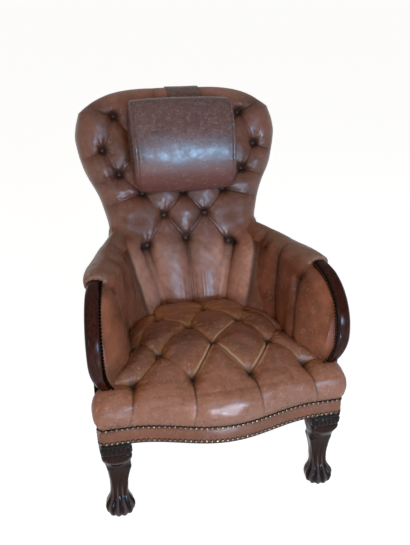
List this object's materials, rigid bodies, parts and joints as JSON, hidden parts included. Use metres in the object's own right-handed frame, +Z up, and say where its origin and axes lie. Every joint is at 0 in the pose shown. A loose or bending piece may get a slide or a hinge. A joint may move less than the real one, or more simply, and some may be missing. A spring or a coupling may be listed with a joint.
{
  "type": "armchair",
  "caption": "Deep-buttoned leather library armchair with a reclined spoon back, scrolled wooden arm fronts, paw feet and a strapped headrest cushion.",
  "frame": {"origin": "middle of the plan of the chair at floor level", "axes": "+Z up, -Y the way the sitter faces, +X to the right of someone looking at the front"},
  "size_m": [0.682, 0.749, 1.0319],
  "materials": {
    "leather": "worn, cracked and rubbed, semi-gloss",
    "leather_dark": "darker worn leather",
    "mahogany": "dark polished, chipped",
    "beech": "bare frame timber",
    "brass": "aged, domed",
    "steel": "dull spring wire",
    "jute": "coarse woven",
    "black_cloth": "matt woven"
  },
  "bodies": {
    "root": {"back_pad": "leather", "back_seat_rail": "beech", "back_webbing": "jute", "border_band": "leather_dark", "crest_rail": "beech", "dust_cover": "black_cloth", "front_seat_rail": "beech", "headrest_cushion": "leather", "headrest_pouch": "leather_dark", "headrest_strap": "leather_dark", "left_arm_front": "mahogany", "left_arm_nail_row": "brass", "left_arm_pad": "leather", "left_arm_rail": "beech", "left_back_post": "beech", "left_front_brace": "beech", "left_front_leg": "mahogany", "left_outside_arm": "leather_dark", "left_rear_brace": "beech", "left_rear_leg": "mahogany", "left_seat_rail": "beech", "lower_nail_row": "brass", "outside_back": "leather_dark", "rear_band": "leather_dark", "right_arm_front": "mahogany", "right_arm_nail_row": "brass", "right_arm_pad": "leather", "right_arm_rail": "beech", "right_back_post": "beech", "right_front_brace": "beech", "right_front_leg": "mahogany", "right_outside_arm": "leather_dark", "right_rear_brace": "beech", "right_rear_leg": "mahogany", "right_seat_rail": "beech", "seat_pad": "leather", "seat_webbing": "jute", "spring_11": "steel", "spring_12": "steel", "spring_13": "steel", "spring_21": "steel", "spring_22": "steel", "spring_23": "steel", "spring_31": "steel", "spring_32": "steel", "spring_33": "steel", "spring_hessian": "jute", "stay_rail": "beech", "upper_nail_row": "brass"}
  },
  "joints": []
}
